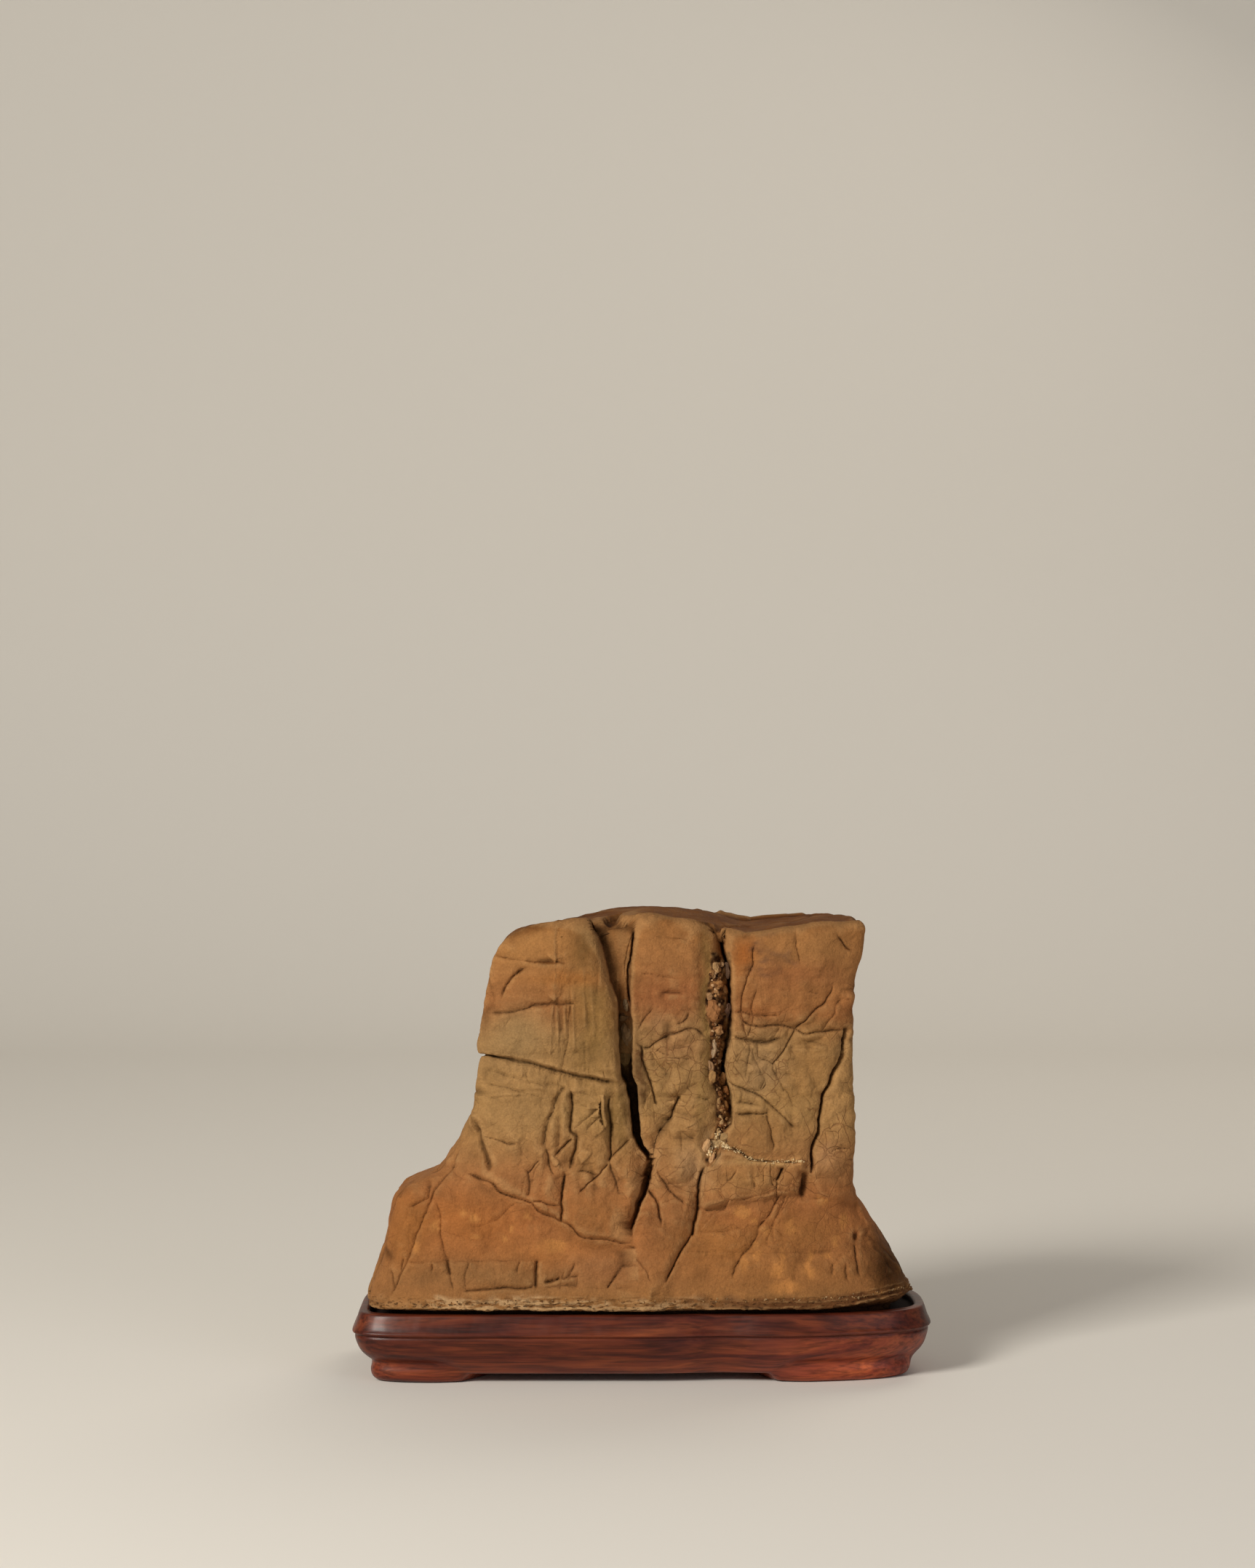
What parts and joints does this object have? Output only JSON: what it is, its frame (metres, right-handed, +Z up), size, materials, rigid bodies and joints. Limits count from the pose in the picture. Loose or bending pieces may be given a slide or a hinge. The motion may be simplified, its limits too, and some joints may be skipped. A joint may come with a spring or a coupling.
{
  "type": "scholars rock on a carved stand",
  "caption": "Natural table-shaped display stone with deep clefts and a spreading foot, seated in a low carved hardwood stand.",
  "frame": {"origin": "centre of the outer box, on the floor under the stand's feet", "axes": "+X to the right along the length, -Y towards the front, +Z up"},
  "size_m": [0.2, 0.0879, 0.1599],
  "materials": {
    "stone": "weathered sandstone with iron-stained orange patches, matte",
    "stand_wood": "dark red-brown hardwood, lacquered, soft gloss"
  },
  "bodies": {
    "root": {"stone": "stone", "stand": "stand_wood"}
  },
  "joints": []
}
